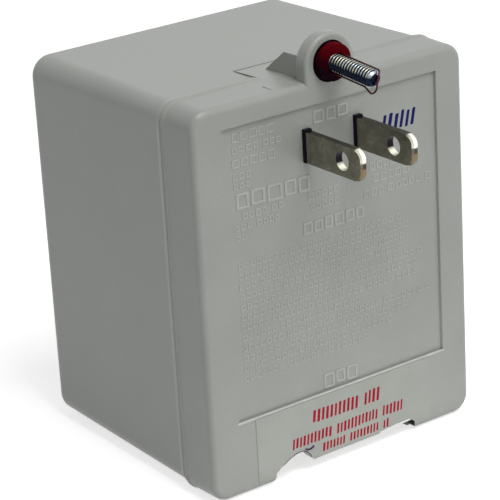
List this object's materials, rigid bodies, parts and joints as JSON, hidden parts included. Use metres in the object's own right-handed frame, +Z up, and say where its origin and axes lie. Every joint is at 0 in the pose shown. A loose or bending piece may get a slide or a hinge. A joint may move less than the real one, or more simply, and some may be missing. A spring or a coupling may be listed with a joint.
{
  "type": "plug in ac transformer",
  "caption": "Wall plug-in AC transformer: two-part case with flat plug blades, a top tab with fixing screw and washer, and an open terminal pocket at the bottom end.",
  "frame": {"origin": "centre of the bounding box's footprint, at the level of the cover rim's lowest edge", "axes": "+Z up towards the mounting tab, +X across the wall-side face; that face and the blades look towards -Y"},
  "size_m": [0.0678, 0.0768, 0.0908],
  "materials": {
    "case_plastic": "moulded, light neutral grey, fine satin grain",
    "blade_nickel": "brass strip, dull nickel plate",
    "zinc_screw": "bright zinc plate",
    "red_fibre": "deep red vulcanised fibre",
    "loop_wire": "enamelled, dark red-brown",
    "clear_film": "thin clear film",
    "silicon_steel": "varnished laminations",
    "frame_steel": "zinc-plated strip",
    "bobbin_nylon": "natural nylon",
    "enamelled_copper": "enamelled copper wire, wound",
    "winding_tape": "polyester tape",
    "tinned_pin": "tinned",
    "dark_plastic": "black thermoset",
    "terminal_brass": "bright brass",
    "fuse_ceramic": "matt ceramic body",
    "fuse_sleeve": "soft sleeve",
    "lead_black": "soft vinyl insulation",
    "lead_white": "soft vinyl insulation"
  },
  "bodies": {
    "root": {"front_cover": "case_plastic", "back_shell": "case_plastic", "blade_left": "blade_nickel", "blade_right": "blade_nickel", "mounting_screw": "zinc_screw", "fibre_washer": "red_fibre", "retainer_loop": "loop_wire", "label_film": "clear_film", "core_e_stack": "silicon_steel", "core_i_stack": "silicon_steel", "core_frame": "frame_steel", "bobbin": "bobbin_nylon", "bobbin_pins": "tinned_pin", "primary_winding": "enamelled_copper", "secondary_winding": "enamelled_copper", "primary_wrap": "winding_tape", "secondary_wrap": "winding_tape", "thermal_cutoff": "tinned_pin", "cutoff_band": "winding_tape", "blade_retainer": "dark_plastic", "terminal_block": "dark_plastic", "terminal_plate_left": "terminal_brass", "terminal_plate_right": "terminal_brass", "terminal_screws": "zinc_screw", "secondary_fuse": "fuse_ceramic", "fuse_sleeve": "fuse_sleeve", "primary_lead_left": "lead_black", "primary_lead_right": "lead_black", "secondary_lead_left": "lead_white", "secondary_lead_right": "lead_white", "fuse_lead": "lead_white"}
  },
  "joints": []
}
